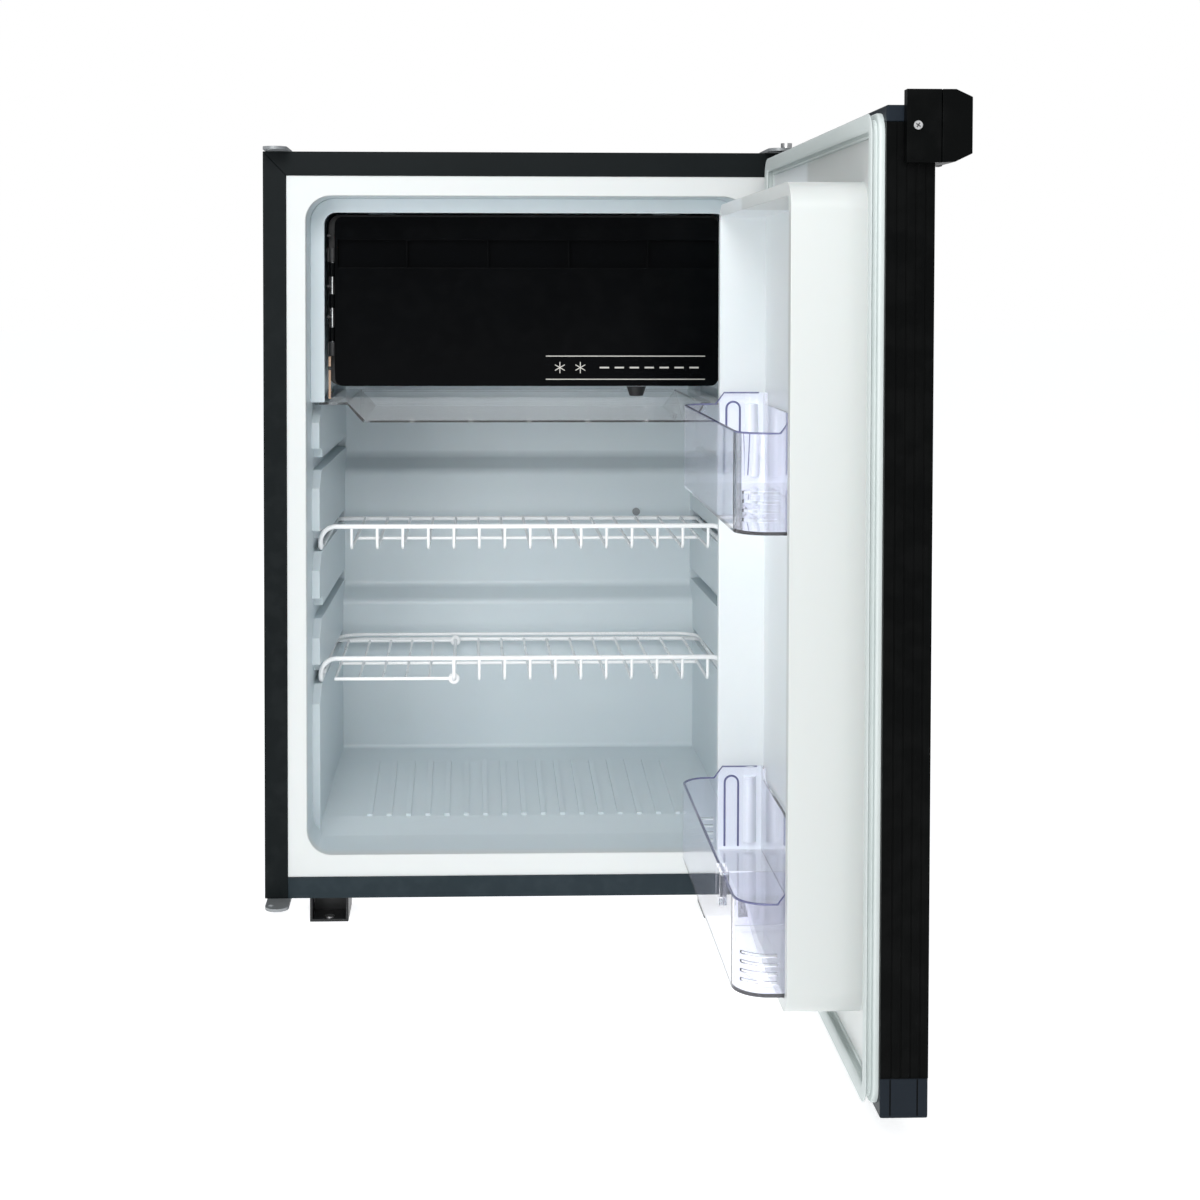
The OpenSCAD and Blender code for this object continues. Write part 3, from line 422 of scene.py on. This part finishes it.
# CAD nodes shown as they are
kept = {
    "insulation_foam": "foamYellow", "door_foam": "foamYellow", "rear_wall_screw": "plateGrey",
    "hinge_pins": "zincSteel", "hinge_plate_screws": "zincSteel", "freezer_hinge_pin": "zincSteel",
    "compressor_grommets": "rubberBlack", "compressor_bolts": "zincSteel", "condenser": "stoveBlack",
    "filter_drier": "copper", "hot_gas_tube": "copper", "suction_tube": "copper",
    "capillary_tube": "copper", "drain_tube": "linerWhite", "latch_pin": "zincSteel",
    "upper_shelf": "whiteWire", "lower_shelf": "whiteWire",
    "bottle_flap": "whiteWire",
}

for node, (finishName, radius) in eased.items():
    work = cleaned(node)
    rounded(work, sharpEdges(work, 35), radius, 3)
    finishPiece(work, node + "_shell", bodyOf[node], finishName, [node])
for node, finishName in kept.items():
    mesh = nodes[node].data
    mesh.materials.clear()
    mesh.materials.append(finish[finishName])
print("eased:", len(eased), "kept:", len(kept))


# Formed plastic: liner, door liner and gasket

def between(edge, low, high):
    return all(low[i] - 0.02 <= v.co[i] * 1000 <= high[i] + 0.02 for v in edge.verts for i in range(3))


def zone(low, high):
    # a box in cabinet millimetres as a box in the frame's own millimetres
    return standing @ Vector(low) * 1000, standing @ Vector(high) * 1000


# each stage rounds the sharp edges inside its zone: corners, angle, shortest edge, radius, steps
liner = {
    "floorSides": {"low": (-213, 99, 54), "high": (213, 349, 70), "angle": 60, "longer": 0.1,
                   "outside": 0.203, "radius": 8.0, "steps": 5},
    "mouth": {"low": (-221, 1.3, 42), "high": (221, 1.7, 703), "angle": 35, "radius": 5.0, "steps": 4},
    "ledges": {"low": (-209, 340, 240), "high": (209, 400, 415), "angle": 20, "longer": 0.2,
               "radius": 6.0, "steps": 4},
    "step": {"low": (-221, 69, 60), "high": (221, 71, 690), "angle": 35, "radius": 2.4, "steps": 3},
}
linerRest = {"angle": 38, "radius": 1.0, "steps": 2}
doorLiner = {"angle": 35, "radius": 3.6, "steps": 4}


def buildLiner():
    work = cleaned("inner_liner")
    for stage in liner.values():
        corners = zone(stage["low"], stage["high"])
        edges = [e for e in sharpEdges(work, stage["angle"])
                 if between(e, *corners) and e.calc_length() > stage.get("longer", -1.0)
                 and min(abs(v.co.x) for v in e.verts) > stage.get("outside", -1.0)]
        rounded(work, edges, stage["radius"], stage["steps"])
    rounded(work, sharpEdges(work, linerRest["angle"]), linerRest["radius"], linerRest["steps"])
    finishPiece(work, "inner_liner_shell", "cabinet", "linerWhite",
                ["inner_liner"])


def buildDoorLiner():
    work = cleaned("door_liner")
    rounded(work, sharpEdges(work, doorLiner["angle"]), doorLiner["radius"], doorLiner["steps"])
    finishPiece(work, "door_liner_shell", "door", "doorWhite", ["door_liner"])


# the gasket's section: distance outwards from its middle line and depth
gasket = {"half": 247.0, "low": 13.75, "high": 729.25, "corner": 9.0, "steps": 6,
          "section": [(8, -10.5), (8, -8.2), (7.6, -6.7), (6.4, -6.1), (3.4, -5.8), (3.0, -4.0),
                      (3.6, -2.3), (6.8, -2.0), (7.6, -1.3), (6.8, -0.6), (3.0, -0.3), (-2.0, -0.5),
                      (-4.6, -1.4), (-5.2, -2.4), (-2.6, -3.6), (-2.2, -6.2), (-4.6, -7.4),
                      (-6.6, -6.6), (-8, -7.6), (-8, -10.5)]}


def buildGasket():
    work = bmesh.new()
    rings = []
    for out, depth in gasket["section"]:
        ring = []
        for turn, (x, z) in enumerate(((1, 1), (-1, 1), (-1, -1), (1, -1))):
            centreX = x * (gasket["half"] - gasket["corner"])
            centreZ = gasket["high"] - gasket["corner"] if z > 0 else gasket["low"] + gasket["corner"]
            for k in range(gasket["steps"] + 1):
                a = math.radians(90 * turn + 90 * k / gasket["steps"])
                reach = gasket["corner"] + out
                ring.append(work.verts.new((centreX + reach * math.cos(a), depth,
                                            centreZ + reach * math.sin(a))))
        rings.append(ring)
    count = len(rings[0])
    for k in range(len(rings)):
        near, far = rings[k], rings[(k + 1) % len(rings)]
        for i in range(count):
            work.faces.new((near[i], near[(i + 1) % count], far[(i + 1) % count], far[i]))
    bmesh.ops.recalc_face_normals(work, faces=work.faces)
    finishPiece(work, "door_gasket_seal", "door", "gasketGrey", ["door_gasket"],
                doorOpen, 55)


buildLiner()
buildDoorLiner()
buildGasket()
print("liners and gasket done")


# marking on the freezer door: two lines, two cold stars and a row of plain dashes
marking = {"left": 20.6, "right": 184.5, "lines": [540.8, 517.0], "thick": 0.9, "face": 59.85,
           "raised": 0.2,
           "stars": [35.0, 56.0], "starSize": 5.8, "armHalf": 0.42, "middle": 529.0, "dashes": 7,
           "dashFrom": 76.0, "dashPitch": 15.4, "dashSize": (9.5, 1.6)}


def buildMarking():
    work = bmesh.new()
    face, half, raised = marking["face"], marking["thick"] / 2, marking["raised"]
    arm, armHalf = marking["starSize"], marking["armHalf"]
    for z in marking["lines"]:
        box(work, (marking["left"], face, z - half), (marking["right"], face + raised, z + half))
    for x in marking["stars"]:
        for turn in range(3):
            made = box(work, (-arm, 0, -armHalf), (arm, raised, armHalf))
            bmesh.ops.rotate(work, cent=(0, 0, 0), verts=made,
                             matrix=Matrix.Rotation(math.radians(30 + 60 * turn), 3, "Y"))
            bmesh.ops.translate(work, vec=(x, face - 0.02 * turn, marking["middle"]), verts=made)
    wide, high = marking["dashSize"]
    low = marking["middle"] - high / 2
    for k in range(marking["dashes"]):
        x = marking["dashFrom"] + k * marking["dashPitch"]
        box(work, (x, face, low), (x + wide, face + raised, marking["middle"] + high / 2))
    finishPiece(work, "freezer_door_marking", "freezer_door", "silverPrint", (), standing)


# what shows in the narrow gap beside the freezer door's hinge edge
hingeGap = {"pegs": (528.0, 580.5, 612.0, 664.0), "pegX": (-203.3, -199.2), "pegY": 68, "peg": 1.8,
            "strip": ((-202.6, 70, 496.5), (-200.2, 74, 540.0))}


def buildHingeGap():
    work = bmesh.new()
    for z in hingeGap["pegs"]:
        tube(work, [Vector((x, hingeGap["pegY"], z)) for x in hingeGap["pegX"]], hingeGap["peg"])
    finishPiece(work, "freezer_gap_pegs", "cabinet", "blackPlastic", (), standing)
    work = bmesh.new()
    box(work, *hingeGap["strip"])
    finishPiece(work, "freezer_gap_strip", "cabinet", "brassStrip", (), standing)


# a dark line of painted shade along the moulded edge of a bin, standing in for its refraction: corner arc, slope
# of the raised end, line radius
binRim = {"arcAt": (169, 61), "arc": 24.6, "steps": 8, "endX": 193.6, "slopeY": (54.5, 46.5),
          "backY": 13, "line": 0.75, "upper": (499.5, 510.5), "lower": (139.5, 150.5)}


def buildBinRim(name, body, rim, top):
    work = bmesh.new()
    (x, y), arc, steps = binRim["arcAt"], binRim["arc"], binRim["steps"]
    half = []
    for k in range(steps + 1):
        a = math.radians(90 - 90 * k / steps)
        half.append(Vector((x + arc * math.cos(a), y + arc * math.sin(a), rim)))
    low, high = binRim["slopeY"]
    half += [Vector((binRim["endX"], y, z)) for y, z in ((low, rim), (high, top), (binRim["backY"], top))]
    mirrored = [Vector((-p.x, p.y, p.z)) for p in reversed(half)]
    tube(work, mirrored + half, binRim["line"], 8)
    finishPiece(work, name, body, "violetPaintedEdgeShade", (), doorOpen)


# raised loops on the end walls of the bins, drawn in the same dark violet of painted edge shade
binLoops = {"x": 191.2, "y": 38.0, "half": 6.5, "wire": 1.0, "upper": (432.0, 502.0),
            "lower": (74.0, 142.0)}


def buildBinLoops(name, body, low, high):
    work = bmesh.new()
    y, half = binLoops["y"], binLoops["half"]
    for side in (-1, 1):
        x = side * binLoops["x"]
        path = [Vector((x, y + half, low)), Vector((x, y + half, high - half))]
        path += [Vector((x, y + half * math.cos(a), high - half + half * math.sin(a)))
                 for a in (math.pi * k / 10 for k in range(1, 10))]
        path += [Vector((x, y - half, high - half)), Vector((x, y - half, low))]
        tube(work, path, binLoops["wire"], 10)
    finishPiece(work, name, body, "violetPaintedEdgeShade", (), doorOpen)


# the second wire along the rear of the lower shelf
shelfRear = {"x": 211, "front": (120, 204.9), "rear": (331, 206.6), "corner": 34, "wire": 1.9}


def buildShelfRear():
    work = bmesh.new()
    x, front, rear = shelfRear["x"], shelfRear["front"], shelfRear["rear"]
    path = bent([(-x, *front), (-x, *rear), (x, *rear), (x, *front)], shelfRear["corner"])
    tube(work, path, shelfRear["wire"], 12)
    finishPiece(work, "lower_shelf_rear_wire", "lower_shelf", "whiteWire", (), standing)


# wire loops at both ends of the bottle flap
flapLoops = {"ends": (103, 325), "x": -73.98, "z": 200.1, "loop": 4.6, "steps": 24, "wire": 1.5}


def buildFlapEnds():
    work = bmesh.new()
    loop, steps = flapLoops["loop"], flapLoops["steps"]
    for y in flapLoops["ends"]:
        path = [Vector((flapLoops["x"] + loop * math.cos(a), y, flapLoops["z"] + loop * math.sin(a)))
                for a in (2 * math.pi * k / steps for k in range(steps))]
        tube(work, path, flapLoops["wire"], 10, True)
    finishPiece(work, "bottle_flap_loops", "bottle_flap", "whiteWire", (), standing)


# screw in the latch; its cross recess is a dark cross of painted shade laid on the head
latchScrew = {"at": (-270.0, -30.7, 726.0), "head": 3.2, "high": 1.9, "cross": 1.9}


def buildLatchScrew():
    at = Vector(latchScrew["at"])
    work = bmesh.new()
    path = [at + Vector((-latchScrew["high"] * k, 0, 0)) for k in (0, 1)]
    tube(work, path, latchScrew["head"], 32)
    rounded(work, sharpEdges(work, 60), 0.7, 4)
    finishPiece(work, "latch_screw_head", "door", "zincSteel",
                ["latch_screw"], doorOpen)
    work = bmesh.new()
    cross = latchScrew["cross"]
    for turn in (35, 125):
        made = box(work, (-0.02, -cross, -0.4), (0.3, cross, 0.4))
        bmesh.ops.rotate(work, cent=(0, 0, 0), verts=made,
                         matrix=Matrix.Rotation(math.radians(turn), 3, "X"))
        bmesh.ops.translate(work, vec=at - Vector((latchScrew["high"] + 0.05, 0, 0)), verts=made)
    finishPiece(work, "latch_screw_recess_shade", "door", "blackPlastic", (), doorOpen)


# grooves on the end of the door's bottom cap, drawn as dark strips of painted shade
capGrooves = {"x": (-260.1, -259.5), "upright": (-38.5, -18.5), "wide": 1.0, "z": (3.5, 30.5),
              "level": ((-46.0, 31.2), (-10.6, 31.9))}


def buildCapGrooves():
    work = bmesh.new()
    near, far = capGrooves["x"]
    low, high = capGrooves["z"]
    for y in capGrooves["upright"]:
        box(work, (near, y, low), (far, y + capGrooves["wide"], high))
    first, last = capGrooves["level"]
    box(work, (near, *first), (far, *last))
    finishPiece(work, "door_cap_groove_shade", "door", "blackProfile", (), doorOpen)


# small nubs along the front of the drip tray
trayNubs = {"count": 5, "first": -117.6, "pitch": 61.2, "half": 2.5, "y": (99.0, 101.5),
            "z": (469.0, 474.0), "edge": 0.5}


def buildTrayNubs():
    work = bmesh.new()
    (near, far), (low, high) = trayNubs["y"], trayNubs["z"]
    for k in range(trayNubs["count"]):
        x = trayNubs["first"] + trayNubs["pitch"] * k
        box(work, (x - trayNubs["half"], near, low), (x + trayNubs["half"], far, high))
    rounded(work, work.edges[:], trayNubs["edge"], 2)
    finishPiece(work, "drip_tray_nubs", "drip_tray", "clearTray", (), standing)


# a web that closes each foot channel at its inner end, and the washer on its hole
feet = {"across": 198.2, "ends": (4.0, 452.0), "web": (30.0, 32.0), "half": 16.6, "webZ": (-22.4, -0.2),
        "washer": 5.2, "washerY": 8, "washerZ": (-22.45, -21.2)}


def buildFootDetails():
    webs, washers = bmesh.new(), bmesh.new()
    half, (near, far), (low, high) = feet["half"], feet["web"], feet["webZ"]
    for x in (-feet["across"], feet["across"]):
        for y in feet["ends"]:
            box(webs, (x - half, y + near, low), (x + half, y + far, high))
            ends = [Vector((x, y + feet["washerY"], z)) for z in feet["washerZ"]]
            tube(washers, ends, feet["washer"], 28)
    finishPiece(webs, "feet_webs", "cabinet", "blackEnamel", (), standing)
    finishPiece(washers, "feet_washers", "cabinet", "zincSteel", (), standing)


buildFootDetails()
buildMarking()
buildHingeGap()
buildBinLoops("upper_bin_loops", "upper_bin", *binLoops["upper"])
buildBinLoops("lower_bin_loops", "lower_bin", *binLoops["lower"])
buildBinRim("upper_bin_rim", "upper_bin", *binRim["upper"])
buildBinRim("lower_bin_rim", "lower_bin", *binRim["lower"])
buildShelfRear()
buildFlapEnds()
buildLatchScrew()
buildCapGrooves()
buildTrayNubs()
print("details done")


# Camera, floor and lights

view = {"spot": (-58.0, -1929.7, 605.9), "yaw": 1.879, "pitch": 1.826, "roll": 0.077,
        "lens": 58.24, "sensor": 36.0, "shift": (0.0559, -0.2046)}


def buildCamera():
    lens = bpy.data.cameras.new("camera")
    lens.lens = view["lens"]
    lens.sensor_width = view["sensor"]
    lens.shift_x, lens.shift_y = view["shift"]
    camera = bpy.data.objects.new("camera", lens)
    camera.location = standing @ Vector(view["spot"])
    turn = (Matrix.Rotation(math.radians(-view["yaw"]), 3, "Z")
            @ Matrix.Rotation(math.radians(90 - view["pitch"]), 3, "X")
            @ Matrix.Rotation(math.radians(view["roll"]), 3, "Z"))
    camera.rotation_euler = turn.to_euler()
    bpy.context.scene.collection.objects.link(camera)
    bpy.context.scene.camera = camera


floorPaper = {"half": 30.0, "colour": (0.93, 0.935, 0.94, 1.0), "rough": 0.55, "specular": 0.1,
              "glow": (1.0, 1.0, 1.0, 1.0), "strength": 0.74}
studio = {"ambient": (0.27, 0.28, 0.29), "seen": (1.0, 1.0, 1.0), "strength": 1.0}


def buildFloor():
    work = bmesh.new()
    bmesh.ops.create_grid(work, x_segments=1, y_segments=1, size=floorPaper["half"])
    mesh = bpy.data.meshes.new("floor")
    work.to_mesh(mesh)
    work.free()
    paper = bpy.data.materials.new("floorPaper")
    paper.use_nodes = True
    shader = paper.node_tree.nodes["Principled BSDF"]
    shader.inputs["Base Color"].default_value = floorPaper["colour"]
    shader.inputs["Roughness"].default_value = floorPaper["rough"]
    shader.inputs["Specular IOR Level"].default_value = floorPaper["specular"]
    shader.inputs["Emission Color"].default_value = floorPaper["glow"]
    shader.inputs["Emission Strength"].default_value = floorPaper["strength"]
    mesh.materials.append(paper)
    floor = bpy.data.objects.new("floor", mesh)
    bpy.context.scene.collection.objects.link(floor)


def buildWorld():
    world = bpy.data.worlds.new("studio")
    world.use_nodes = True
    tree = world.node_tree
    background = tree.nodes["Background"]
    path = addNode(tree, "ShaderNodeLightPath")
    glow = mixColour(tree, path.outputs["Is Camera Ray"], studio["ambient"], studio["seen"])
    tree.links.new(glow, background.inputs["Color"])
    background.inputs["Strength"].default_value = studio["strength"]
    bpy.context.scene.world = world
    bpy.context.scene.view_settings.view_transform = "Standard"


lamps = {
    "farLeft": {"at": (-2.5, -6.0, 1.0), "to": (0.0, 0.0, 0.38), "size": 2.0, "watts": 66},
    "farHigh": {"at": (0.2, -5.6, 2.8), "to": (0.0, 0.0, 0.36), "size": 2.2, "watts": 60},
    "mouthFill": {"at": (-0.25, -1.5, 1.4), "to": (0.0, 0.0, 0.2), "size": 0.7, "watts": 9},
    "above": {"at": (0.0, -0.7, 2.6), "to": (0.0, -0.1, 0.3), "size": 2.0, "watts": 4},
    "behind": {"at": (0.6, 2.4, 2.0), "to": (0.0, 0.0, 0.4), "size": 1.8, "watts": 8},
}


def buildLamp(name, values):
    light = bpy.data.lights.new(name, "AREA")
    light.size = values["size"]
    light.energy = values["watts"]
    lamp = bpy.data.objects.new(name, light)
    lamp.location = values["at"]
    aim = Vector(values["to"]) - Vector(values["at"])
    lamp.rotation_euler = aim.to_track_quat("-Z", "Y").to_euler()
    bpy.context.scene.collection.objects.link(lamp)


buildCamera()
buildFloor()
buildWorld()
for name, values in lamps.items():
    buildLamp(name, values)
print("camera, floor and lights done")
